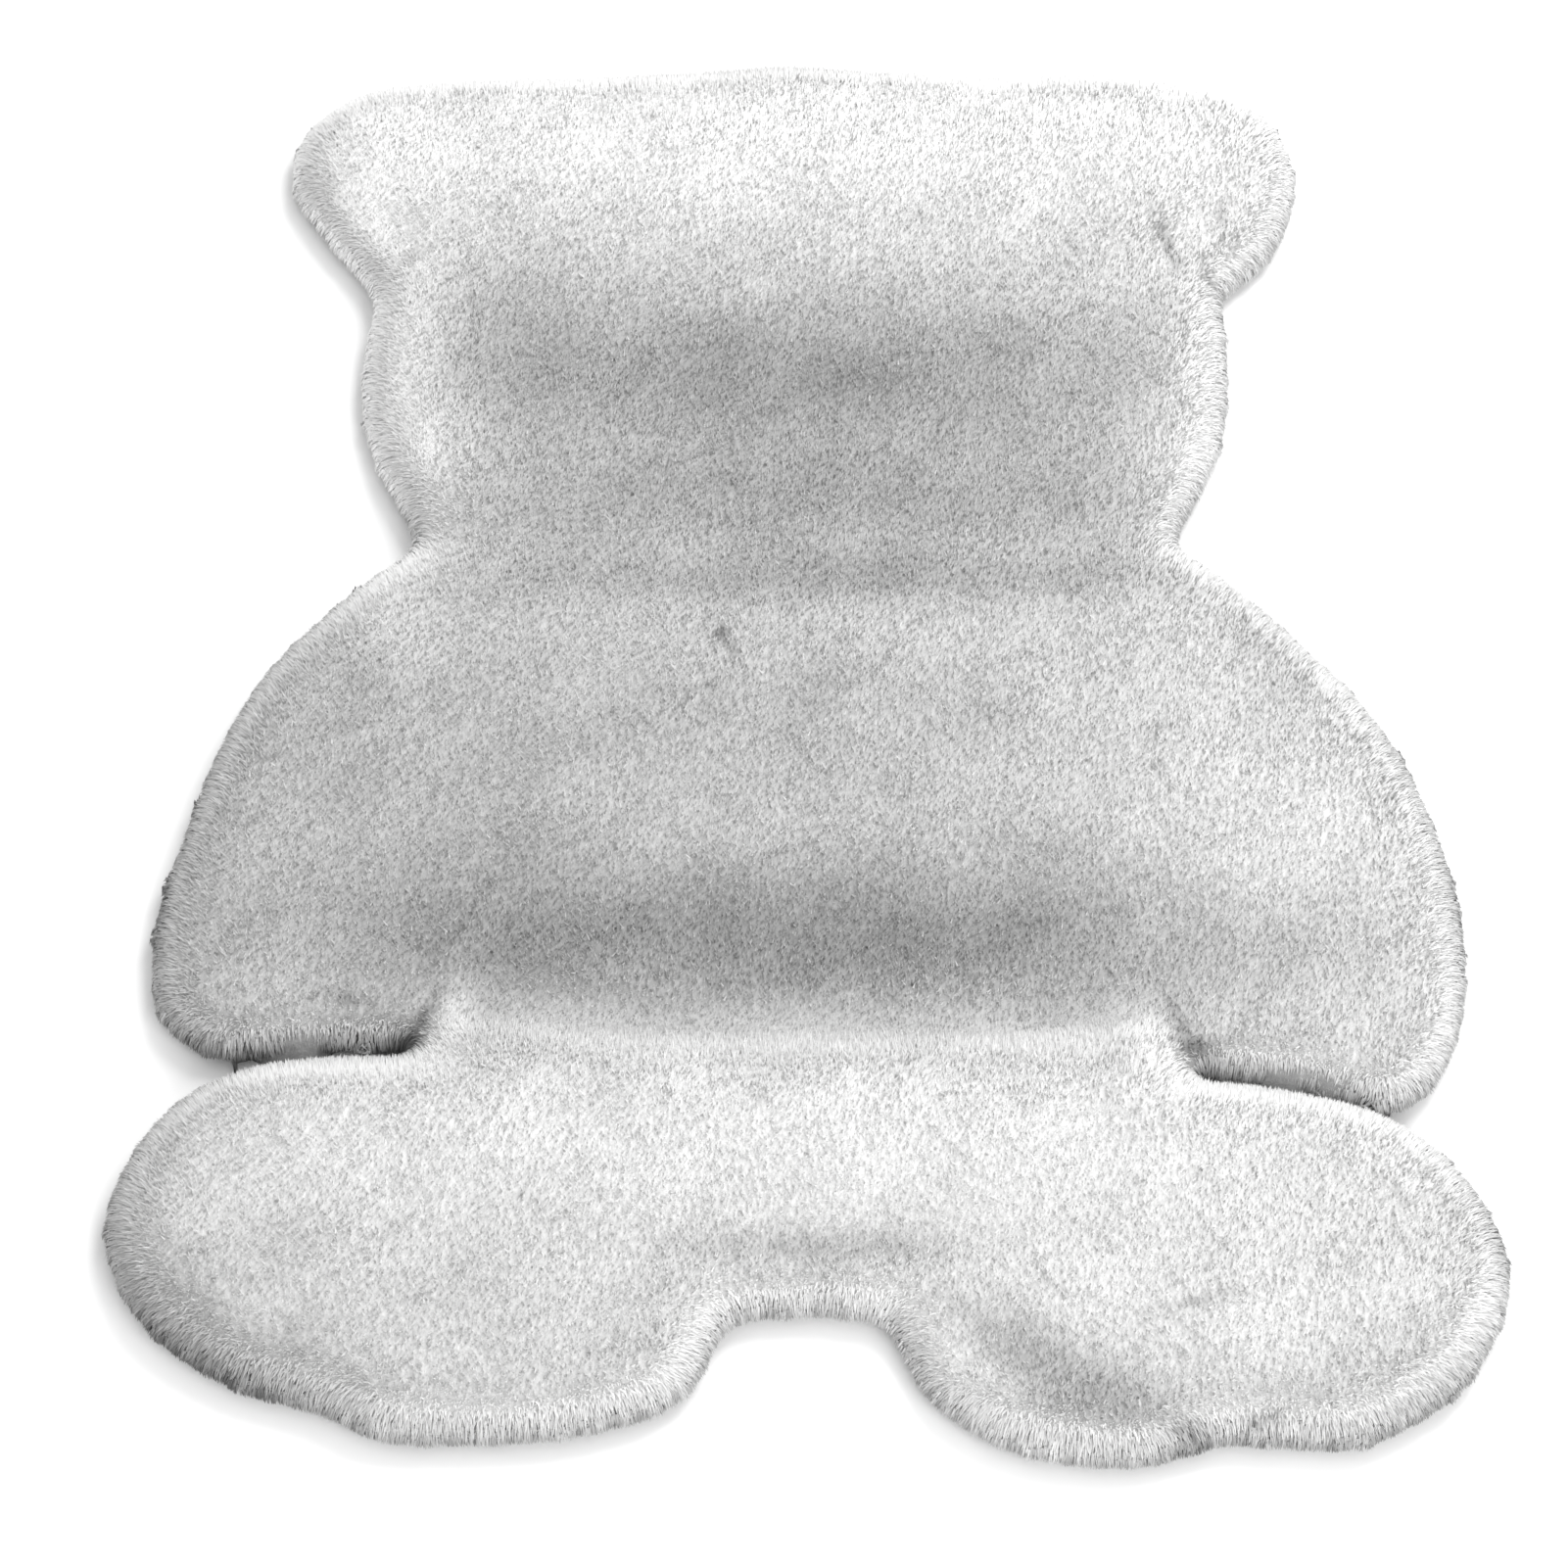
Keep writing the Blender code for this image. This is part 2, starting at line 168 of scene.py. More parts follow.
# How squarely that shade ends, along and across: the powers of its fall.
SLIT_SHADE_POWERS = (8, 4)

# Columns of tone on the wisps' map, and the share of a column that a wisp is wide there.
TONES = 64
WISP_ON_MAP = 0.6
# Where a wisp's root and its tip lie up the map.
ROOT_ON_MAP = 0.02
TIP_ON_MAP = 0.98
# Tone of the darkest column, where 1 is that of the lightest.
DARKEST = 0.15
# Corners of a wisp's faces: the three points round its root are 0 to 2, its tip is 3.
WISP_FACES = np.array([[0, 2, 1], [0, 1, 3], [1, 2, 3], [2, 0, 3]])
ROOT_POINTS = 3


class PileSettings(bpy.types.PropertyGroup):
    """Sizes and colours of the pile."""

    spacing: FloatProperty(
        name="Spacing", description="Distance between neighbouring wisps",
        default=0.00156, min=0.0015, max=0.01, precision=5, unit="LENGTH")
    length: FloatProperty(
        name="Wisp length", description="Length of a wisp from its root in the bed to its tip",
        default=0.0095, min=0.005, max=0.03, precision=4, unit="LENGTH")
    width: FloatProperty(
        name="Wisp width", description="Width of a wisp at its root",
        default=0.0021, min=0.0004, max=0.004, precision=4, unit="LENGTH")
    bed_depth: FloatProperty(
        name="Bed depth", description="How far the dense bed lies below the tips",
        default=0.0036, min=0.002, max=0.015, precision=4, unit="LENGTH")
    nap: FloatProperty(
        name="Nap", description="How far the pile leans towards the feet, as a slope",
        default=0.08, min=0.0, max=1.0)
    swirl: FloatProperty(
        name="Swirl", description="How far wisps lean aside, as a slope",
        default=0.20, min=0.0, max=1.5)
    comb: FloatProperty(
        name="Comb", description="How far the pile on the sides is combed down, as a slope",
        default=1.2, min=0.0, max=4.0)
    locks: FloatProperty(
        name="Locks", description="How far the pile on the sides parts into lighter and darker locks",
        default=0.08, min=0.0, max=0.5)
    softness: FloatProperty(
        name="Softness", description="How much of a wisp's shading follows the rug and not the wisp",
        default=0.90, min=0.0, max=1.0, subtype="FACTOR")
    tip_colour: FloatVectorProperty(
        name="Tip colour", description="Colour of the pile at its tips",
        default=(0.985, 0.985, 0.98), size=3, min=0.0, max=1.0, subtype="COLOR")
    # The roots are a little darker than the tips: painted shade down in the pile.
    shaded_root_colour: FloatVectorProperty(
        name="Root colour", description="Colour of the pile down at its roots",
        default=(0.94, 0.94, 0.94), size=3, min=0.0, max=1.0, subtype="COLOR")


class BackingSettings(bpy.types.PropertyGroup):
    """Size and colour of the backing cloth."""

    thickness: FloatProperty(
        name="Thickness", description="Thickness of the backing cloth",
        default=0.0015, min=0.0005, max=0.004, precision=4, unit="LENGTH")
    colour: FloatVectorProperty(
        name="Backing colour", description="Colour of the backing cloth",
        default=(0.66, 0.655, 0.64), size=3, min=0.0, max=1.0, subtype="COLOR")


class StageSettings(bpy.types.PropertyGroup):
    """The floor, the light and the camera."""

    floor_colour: FloatVectorProperty(
        name="Floor colour", description="Colour of the plain floor",
        default=(0.92, 0.92, 0.92), size=3, min=0.0, max=1.0, subtype="COLOR")
    elevation: FloatProperty(
        name="Camera elevation", description="Angle of the camera above the horizon",
        default=math.radians(55.0), min=0.1, max=1.5, subtype="ANGLE")
    distance: FloatProperty(
        name="Camera distance", description="Distance from the camera to the point it looks at",
        default=2.2, min=1.0, max=6.0, unit="LENGTH")
    look_at: FloatVectorProperty(
        name="Look at", description="Point in the middle of the picture",
        default=(-0.0092, -0.0447, 0.0), size=3, subtype="TRANSLATION", unit="LENGTH")
    lens: FloatProperty(
        name="Lens", description="Focal length of the camera in millimetres",
        default=107.54, min=20.0, max=300.0)
    lamp_power: FloatProperty(
        name="Lamps", description="Power of the large soft lights together, in watts",
        default=86.0, min=0.0, max=500.0)
    sky_strength: FloatProperty(
        name="Sky light", description="Strength of the even light from all round",
        default=0.88, min=0.0, max=3.0)


# Shortest and longest wave of the noise, as shares of its length.
NOISE_WAVES = (0.7, 1.4)


def smooth_noise(x, y, length, random, waves=7):
    """Even noise that mostly lies between -1 and 1: the sum of sine waves of like length that run
    in random directions, over the root of their number."""
    total = np.zeros_like(x)
    for _ in range(waves):
        turn, shift = random.uniform(0, 2 * np.pi, 2)
        wave = 2 * np.pi / (length * random.uniform(*NOISE_WAVES))
        total += np.sin(wave * (x * np.cos(turn) + y * np.sin(turn)) + shift)
    return total / np.sqrt(waves)


# A vector shorter than this isn't stretched to length one.
NO_LENGTH = 1e-12


def unit(vectors):
    """The vectors at length one."""
    return vectors / np.maximum(np.linalg.norm(vectors, axis=-1, keepdims=True), NO_LENGTH)


# Points of the solid nearer than this are one point.
MERGE = 1e-5


def plush_solid():
    """The rug's own solid as one joined mesh: a copy of the node's loose triangles, merged."""
    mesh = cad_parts[RUG].data.copy()
    joined = bmesh.new()
    joined.from_mesh(mesh)
    bmesh.ops.remove_doubles(joined, verts=joined.verts, dist=MERGE)
    joined.to_mesh(mesh)
    joined.free()
    return mesh


def read_mesh(mesh):
    """Points and normals of a mesh, the number of corners of each face and all corners in turn,
    as arrays."""
    count = len(mesh.vertices)
    points = np.empty(3 * count)
    mesh.vertices.foreach_get("co", points)
    normals = np.empty(3 * count, np.float32)
    mesh.vertex_normals.foreach_get("vector", normals)
    sizes = np.empty(len(mesh.polygons), np.int32)
    mesh.polygons.foreach_get("loop_total", sizes)
    corners = np.empty(len(mesh.loops), np.int32)
    mesh.loops.foreach_get("vertex_index", corners)
    return points.reshape(-1, 3), normals.reshape(-1, 3).astype(float), sizes, corners


# How far one softening draws a point to the middle of its neighbours.
SOFTENING = 0.5


def coat(grain, softenings):
    """The outer face that the tips of the pile reach: the solid remade on an even grid of points
    and smoothed, which evens out the coarse locks of its rim. Returns what read_mesh gives."""
    guide = bpy.data.objects.new("coat_guide", plush_solid())
    bpy.context.scene.collection.objects.link(guide)
    even = guide.modifiers.new("even", "REMESH")
    even.mode = "VOXEL"
    even.voxel_size = grain
    soft = guide.modifiers.new("soft", "SMOOTH")
    soft.factor = SOFTENING
    soft.iterations = softenings
    shown = guide.evaluated_get(bpy.context.evaluated_depsgraph_get())
    found = read_mesh(shown.to_mesh())
    shown.to_mesh_clear()
    bpy.data.objects.remove(guide, do_unlink=True)
    return found


def new_mesh(name, points, sizes, corners, smooth=True):
    """A mesh from arrays: the points, the number of corners of each face and all corners in turn."""
    mesh = bpy.data.meshes.new(name)
    mesh.vertices.add(len(points))
    mesh.vertices.foreach_set("co", np.ascontiguousarray(points, np.float32).ravel())
    mesh.loops.add(len(corners))
    mesh.loops.foreach_set("vertex_index", np.ascontiguousarray(corners, np.int32))
    mesh.polygons.add(len(sizes))
    starts = np.concatenate([[0], np.cumsum(sizes)[:-1]])
    mesh.polygons.foreach_set("loop_start", starts.astype(np.int32))
    mesh.polygons.foreach_set("loop_total", np.ascontiguousarray(sizes, np.int32))
    mesh.polygons.foreach_set("use_smooth", np.full(len(sizes), smooth))
    mesh.update(calc_edges=True)
    mesh.validate()
    return mesh


def new_piece(mesh, *materials):
    """A piece of the rug with its materials, riding on the rug's one body."""
    piece = bpy.data.objects.new(mesh.name, mesh)
    bpy.context.scene.collection.objects.link(piece)
    for material in materials:
        mesh.materials.append(material)
    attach(piece, BODY)
    return piece


def shader_group(name, inputs, outputs):
    """An empty shader node group with these named sockets; returns it with its two end nodes."""
    group = bpy.data.node_groups.new(name, "ShaderNodeTree")
    for socket, kind in inputs:
        group.interface.new_socket(socket, in_out="INPUT", socket_type=kind)
    for socket, kind in outputs:
        group.interface.new_socket(socket, in_out="OUTPUT", socket_type=kind)
    return group, group.nodes.new("NodeGroupInput"), group.nodes.new("NodeGroupOutput")


# How far up a wisp the root's colour ends and the tip's begins, as shares of its length.
COLOUR_RISE = (0.15, 0.95)
# Roughness of the pile at its roots and at its tips.
ROOT_ROUGHNESS = 1.0
TIP_ROUGHNESS = 0.78
# How dark the bed's deepest colour is beside the wisps' roots, as a share of theirs: painted shade
# deep in the pile.
BED_SHADE_SHARE = 0.75
# How glossy the wisps and the bed are.
WISP_GLOSS = 0.1
BED_GLOSS = 0.2
# The bed's mottle: its fineness, its detail, and the strength and the height of its bumps.
MOTTLE_SCALE = 260.0
MOTTLE_DETAIL = 3.0
MOTTLE_BUMP = 0.6
MOTTLE_HEIGHT = 0.002
# The backing cloth's ribs: their fineness, how unevenly they run, and the strength and the height
# of their bumps.
RIB_SCALE = 260.0
RIB_UNEVENNESS = 0.6
RIB_BUMP = 0.5
RIB_HEIGHT = 0.0006
# Fineness and darkest share of the backing cloth's cloudiness, and its roughness.
CLOTH_CLOUD_SCALE = 25.0
CLOTH_CLOUD_DARKEST = 0.88
CLOTH_ROUGHNESS = 0.92


def pile_tone_group():
    """Colour of the pile from how far up a wisp a place lies and how light the wisp is; the darker
    colour at the root is painted shade down in the pile.
    """
    group, start, end = shader_group(
        "pile tone",
        [("Root", "NodeSocketColor"), ("Tip", "NodeSocketColor"), ("Up", "NodeSocketFloat"),
         ("Tone", "NodeSocketFloat"), ("Darkest", "NodeSocketFloat")],
        [("Color", "NodeSocketColor"), ("Roughness", "NodeSocketFloat")])
    nodes, links = group.nodes, group.links
    rise = nodes.new("ShaderNodeMapRange")
    rise.interpolation_type = "SMOOTHSTEP"
    rise.inputs["From Min"].default_value, rise.inputs["From Max"].default_value = COLOUR_RISE
    links.new(start.outputs["Up"], rise.inputs["Value"])
    blend = nodes.new("ShaderNodeMix")
    blend.data_type = "RGBA"
    links.new(rise.outputs["Result"], blend.inputs["Factor"])
    links.new(start.outputs["Root"], blend.inputs["A"])
    links.new(start.outputs["Tip"], blend.inputs["B"])
    light = nodes.new("ShaderNodeMapRange")
    links.new(start.outputs["Tone"], light.inputs["Value"])
    links.new(start.outputs["Darkest"], light.inputs["To Min"])
    scaled = nodes.new("ShaderNodeVectorMath")
    scaled.operation = "SCALE"
    links.new(blend.outputs["Result"], scaled.inputs[0])
    links.new(light.outputs["Result"], scaled.inputs["Scale"])
    links.new(scaled.outputs["Vector"], end.inputs["Color"])
    matt = nodes.new("ShaderNodeMapRange")
    matt.inputs["To Min"].default_value = ROOT_ROUGHNESS
    matt.inputs["To Max"].default_value = TIP_ROUGHNESS
    links.new(start.outputs["Up"], matt.inputs["Value"])
    links.new(matt.outputs["Result"], end.inputs["Roughness"])
    return group


def new_material(name):
    """A material with nodes: its tree's nodes, links and Principled shader."""
    material = bpy.data.materials.new(name)
    material.use_nodes = True
    nodes, links = material.node_tree.nodes, material.node_tree.links
    return material, nodes, links, nodes["Principled BSDF"]


def wisp_material(pile):
    """The wisps: the tone group reads their own map, root to tip upwards and tone across."""
    material, nodes, links, shader = new_material("plush wisps")
    place = nodes.new("ShaderNodeUVMap")
    place.uv_map = "wisp"
    parts = nodes.new("ShaderNodeSeparateXYZ")
    links.new(place.outputs["UV"], parts.inputs["Vector"])
    tone = nodes.new("ShaderNodeGroup")
    tone.node_tree = bpy.data.node_groups.get("pile tone") or pile_tone_group()
    tone.inputs["Root"].default_value = (*pile.shaded_root_colour, 1.0)
    tone.inputs["Tip"].default_value = (*pile.tip_colour, 1.0)
    tone.inputs["Darkest"].default_value = DARKEST
    links.new(parts.outputs["X"], tone.inputs["Tone"])
    links.new(parts.outputs["Y"], tone.inputs["Up"])
    links.new(tone.outputs["Color"], shader.inputs["Base Color"])
    links.new(tone.outputs["Roughness"], shader.inputs["Roughness"])
    shader.inputs["Specular IOR Level"].default_value = WISP_GLOSS
    return material


def bed_material(pile):
    """The dense bed: the tone group with a fine mottle for the height, mixing the tips' colour with
    the roots' painted shade, and the bed's tone, which carries the painted light and shade of the
    patches and the slits.
    """
    material, nodes, links, shader = new_material("plush bed")
    place = nodes.new("ShaderNodeTexCoord")
    fine = nodes.new("ShaderNodeTexNoise")
    fine.inputs["Scale"].default_value = MOTTLE_SCALE
    fine.inputs["Detail"].default_value = MOTTLE_DETAIL
    links.new(place.outputs["Object"], fine.inputs["Vector"])
    tone_and_painted_shade = nodes.new("ShaderNodeAttribute")
    tone_and_painted_shade.attribute_name = "tone"
    tone = nodes.new("ShaderNodeGroup")
    tone.node_tree = bpy.data.node_groups.get("pile tone") or pile_tone_group()
    tone.inputs["Root"].default_value = (*(BED_SHADE_SHARE * c for c in pile.shaded_root_colour), 1.0)
    tone.inputs["Tip"].default_value = (*pile.tip_colour, 1.0)
    tone.inputs["Darkest"].default_value = DARKEST
    links.new(fine.outputs["Fac"], tone.inputs["Up"])
    share = nodes.new("ShaderNodeMapRange")
    share.inputs["From Min"].default_value = DARKEST
    links.new(tone_and_painted_shade.outputs["Fac"], share.inputs["Value"])
    links.new(share.outputs["Result"], tone.inputs["Tone"])
    links.new(tone.outputs["Color"], shader.inputs["Base Color"])
    links.new(tone.outputs["Roughness"], shader.inputs["Roughness"])
    bump = nodes.new("ShaderNodeBump")
    bump.inputs["Strength"].default_value = MOTTLE_BUMP
    bump.inputs["Distance"].default_value = MOTTLE_HEIGHT
    links.new(fine.outputs["Fac"], bump.inputs["Height"])
    links.new(bump.outputs["Normal"], shader.inputs["Normal"])
    shader.inputs["Specular IOR Level"].default_value = BED_GLOSS
    return material


def backing_material(backing):
    """The backing cloth: fine knitted ribs from two crossed waves, with a faint cloudiness."""
    material, nodes, links, shader = new_material("knitted backing")
    place = nodes.new("ShaderNodeTexCoord")
    ribs = []
    for direction in ("X", "Y"):
        wave = nodes.new("ShaderNodeTexWave")
        wave.bands_direction = direction
        wave.inputs["Scale"].default_value = RIB_SCALE
        wave.inputs["Distortion"].default_value = RIB_UNEVENNESS
        links.new(place.outputs["Object"], wave.inputs["Vector"])
        ribs.append(wave)
    knit = nodes.new("ShaderNodeMath")
    knit.operation = "MULTIPLY"
    links.new(ribs[0].outputs["Fac"], knit.inputs[0])
    links.new(ribs[1].outputs["Fac"], knit.inputs[1])
    cloud = nodes.new("ShaderNodeTexNoise")
    cloud.inputs["Scale"].default_value = CLOTH_CLOUD_SCALE
    links.new(place.outputs["Object"], cloud.inputs["Vector"])
    shade = nodes.new("ShaderNodeMapRange")
    shade.inputs["To Min"].default_value = CLOTH_CLOUD_DARKEST
    links.new(cloud.outputs["Fac"], shade.inputs["Value"])
    colour = nodes.new("ShaderNodeVectorMath")
    colour.operation = "SCALE"
    colour.inputs[0].default_value = backing.colour
    links.new(shade.outputs["Result"], colour.inputs["Scale"])
    links.new(colour.outputs["Vector"], shader.inputs["Base Color"])
    bump = nodes.new("ShaderNodeBump")
    bump.inputs["Strength"].default_value = RIB_BUMP
    bump.inputs["Distance"].default_value = RIB_HEIGHT
    links.new(knit.outputs["Value"], bump.inputs["Height"])
    links.new(bump.outputs["Normal"], shader.inputs["Normal"])
    shader.inputs["Roughness"].default_value = CLOTH_ROUGHNESS
    return material


# How far the backing cloth's edge lies inside the rim of the solid's underside.
HEM_INSET = 0.004
# A point of the solid lower than this is on its underside.
UNDERSIDE = 1e-6


def backing_sheet(thickness):
    """The backing cloth: the solid's flat underside with its rim drawn in square to itself, once
    as it is and once raised by the cloth's thickness and turned over, with a wall along each edge
    that only one face has. Returns its mesh and the area of its underside."""
    points, _, _, corners = read_mesh(plush_solid())
    faces = corners.reshape(-1, 3)
    faces = faces[(points[faces][:, :, 2] < UNDERSIDE).all(axis=1)]
    used, faces = np.unique(faces, return_inverse=True)
    faces = faces.reshape(-1, 3)
    low = points[used]
    sides = np.concatenate([faces[:, [0, 1]], faces[:, [1, 2]], faces[:, [2, 0]]])
    _, first, uses = np.unique(
        np.sort(sides, axis=1), axis=0, return_index=True, return_counts=True)
    rim = sides[first[uses == 1]]
    along = low[rim[:, 1]] - low[rim[:, 0]]
    inward = np.zeros_like(low)
    for end in (0, 1):
        np.add.at(inward, rim[:, end], np.cross(along, (0, 0, 1)))
    low = low + HEM_INSET * unit(inward) * (np.linalg.norm(inward, axis=1) > 0)[:, None]
    high = low + (0, 0, thickness)
    count = len(low)
    walls = np.column_stack([rim[:, 1], rim[:, 0], rim[:, 0] + count, rim[:, 1] + count])
    corners = np.concatenate([faces.ravel(), faces[:, ::-1].ravel() + count, walls.ravel()])
    sizes = np.concatenate([np.full(2 * len(faces), 3), np.full(len(walls), 4)])
    area = np.linalg.norm(
        np.cross(low[faces[:, 1]] - low[faces[:, 0]], low[faces[:, 2]] - low[faces[:, 0]]),
        axis=1).sum() / 2
    return new_mesh("backing_cloth", np.vstack([low, high]), sizes, corners, False), area


def along_and_across(x, y, line):
    """How far each point lies along a line of a table from its middle, and across it."""
    turn = math.radians(line.turn)
    along = (x - line.x) * math.cos(turn) + (y - line.y) * math.sin(turn)
    across = (y - line.y) * math.cos(turn) - (x - line.x) * math.sin(turn)
    return along, across


def in_slit(x, y):
    """Which points lie in a slit between a hand and a foot."""
    inside = np.zeros(len(x), bool)
    for slit in SLITS:
        along, across = along_and_across(x, y, slit)
        inside |= (np.abs(along) < slit.half_length) & (np.abs(across) < SLIT_HALF_WIDTH)
    return inside


def slit_shade(x, y):
    """How far the bed lies in the shade of a slit: most in it, falling to 0 around it as a bell
    curve of higher powers, which has a flat top."""
    shade = np.zeros(len(x))
    for slit in SLITS:
        along, across = along_and_across(x, y, slit)
        fall = (along / (SLIT_SHADE_LENGTH * slit.half_length)) ** SLIT_SHADE_POWERS[0]
        fall += (across / SLIT_SHADE_WIDTH) ** SLIT_SHADE_POWERS[1]
        shade = np.maximum(shade, SLIT_SHADE * np.exp(-fall))
    return shade


# Grain of the bed's own coat, and how often it is smoothed.
BED_GRAIN = 0.006
BED_SOFTENINGS = 16
# Points of that coat lower than this are brought down to the bed's floor, which lies inside the
# backing cloth, at this share of its thickness.
BED_EDGE = 0.001
BED_FLOOR_SHARE = 0.8


def bed_mesh(depth, floor):
    """The bed: the coat drawn in along its normals by the depth, and brought down to the backing
    cloth at its edge and in the slits. Its tone is the pile's, shaded towards the slits."""
    points, normals, sizes, corners = coat(BED_GRAIN, BED_SOFTENINGS)
    drawn_in = points - depth * normals
    drawn_in[:, 2] = np.maximum(drawn_in[:, 2], floor)
    sunk = (points[:, 2] < BED_EDGE) | in_slit(points[:, 0], points[:, 1])
    drawn_in[sunk, 2] = floor
    mesh = new_mesh("pile_bed", drawn_in, sizes, corners)
    tone = tone_with_painted_shading(points[:, 0], points[:, 1])
    tone += (DARKEST - tone) * slit_shade(points[:, 0], points[:, 1])
    held = mesh.attributes.new("tone", "FLOAT", "POINT")
    held.data.foreach_set("value", tone.astype(np.float32))
    return mesh


# How much the tone varies over the rug like cloud, and how wide the clouds are.
CLOUD_TONE = 0.015
CLOUD_WIDTH = 0.05


def tone_with_painted_shading(x, y):
    """Tone over the rug: the plain pile's, changed by the patches of painted light and shade and by
    the creases, mostly painted shade, each a bell curve that has fallen to about 0.6 at its
    half-length and half-width, and by a broad cloudiness."""
    tone = np.full(len(x), PLAIN_TONE)
    for patch in PAINTED_SHADING_PATCHES + CREASES:
        along, across = along_and_across(x, y, patch)
        fall = (along / patch.half_length) ** 2 + (across / patch.half_width) ** 2
        tone += patch.light * np.exp(-fall / 2)
    return tone + CLOUD_TONE * smooth_noise(x, y, CLOUD_WIDTH, np.random.default_rng(SEED))


# How often the coat is smoothed. Wisps grow where it is higher than LEAST_HEIGHT and its normal's
# height is above LEAST_NORMAL, which leaves out its underside.
SOFTENINGS = 150
LEAST_HEIGHT = 0.0015
LEAST_NORMAL = -0.7
# Least share of its even area that a point of the coat keeps if a wisp grows there: smoothing
# shrinks the longest locks of the solid to bare spikes, where the points crowd.
LEAST_AREA = 0.22

# Which way the wisps lean aside: how wide the swirls are, and how far single wisps turn from them,
# in radians. How far they lean is a random share of the swirl, from the first to the second.
SWIRL_WIDTH = 0.04
SWIRL_SPREAD = 1.2
LEAN_SHARES = (0.3, 1.3)
# How far a flank holds back the lean aside, how fast the combing grows with its steepness, and
# how much each wisp strays.
FLANK_HOLD = 0.7
COMB_POWER = 0.9
STRAY = 0.10
# How far a tip lies from its point of the coat: along the normal, by a random height of this mean
# and spread that is less on the flanks, and sideways, as a share of the spacing.
TIP_LIFT = (-0.0002, 0.0006)
FLANK_LEVEL = 0.6
TIP_SHIFT = 0.75
# Shortest and longest wisp, slimmest and widest, as shares, and how much each is less on a flank.
LENGTH_SHARES = (0.85, 1.15)
FLANK_SHORTER = 0.5
WIDTH_SHARES = (0.8, 1.2)
FLANK_SLIMMER = 0.35

# How far the wisps' shading is turned up from the way the rug faces, as a slope: on the level,
# and twice as much on a steep flank. How unevenly it is turned from wisp to wisp.
SKYWARD = 0.3
SHADING_SPREAD = 0.06
# How high the shading's way is at the least, so that it is turned up all round the rug.
LEAST_SKYWARD = 0.8
# Painted light and shade of the rim: a painted highlight where the pile turns down, and painted shade
# on its steep side. On the scale of the flank, 0 where the pile is level and 1 where it is upright:
# the middle and the width of the painted highlight on the shoulder, and where the painted shade
# begins.
RIM_PAINTED_HIGHLIGHT = 0.17
RIM_SHADE = 0.06
SHOULDER_FLANK = 0.2
SHOULDER_WIDTH = 0.15
SHADED_FLANK = 0.35
# How much fuller the pile is at the rim, where smoothing has drawn the coat in.
RIM_RISE = 0.0016
# Height of the locks at the rim, from their middle to their highest, and how wide two locks are.
LOCK_RISE = 0.00025
LOCK_WIDTH = 0.006
# How much tone varies from tuft to tuft and from wisp to wisp, how much of that is gone on a
# flank, how wide two tufts are, and how many waves their noise has.
TUFT_TONE = 0.10
WISP_TONE = 0.030
FLANK_EVEN = 0.5
TUFT_WIDTH = 0.0042
TUFT_WAVES = 12
# How much darker the pile grows down to the floor, and from which height.
LOW_SHADE = 0.45
SHADE_HEIGHT = 0.015

Wisps = namedtuple("Wisps", "root tip facing half_width tone")


def rim_painted_shading(flank):
    """Painted light and shade over the rim: a bell curve of the flank's steepness for the painted
    highlight on its shoulder, less a ramp for the painted shade on its steep side."""
    shoulder = np.exp(-((flank - SHOULDER_FLANK) / SHOULDER_WIDTH) ** 2)
    shaded = np.clip((flank - SHADED_FLANK) / (1 - SHADED_FLANK), 0, 1)
    return RIM_PAINTED_HIGHLIGHT * shoulder - RIM_SHADE * shaded


def area_kept(points, corners, grain):
    """The area of the coat's four-cornered faces that falls to each point, as a share of that of
    an even grid: a quarter of each of its faces, whose area is half the cross product of their
    diagonals."""
    faces = corners.reshape(-1, 4)
    one_way = points[faces[:, 2]] - points[faces[:, 0]]
    other_way = points[faces[:, 3]] - points[faces[:, 1]]
    quarter = np.linalg.norm(np.cross(one_way, other_way), axis=1) / 8
    return np.bincount(corners, np.repeat(quarter, 4), len(points)) / grain**2


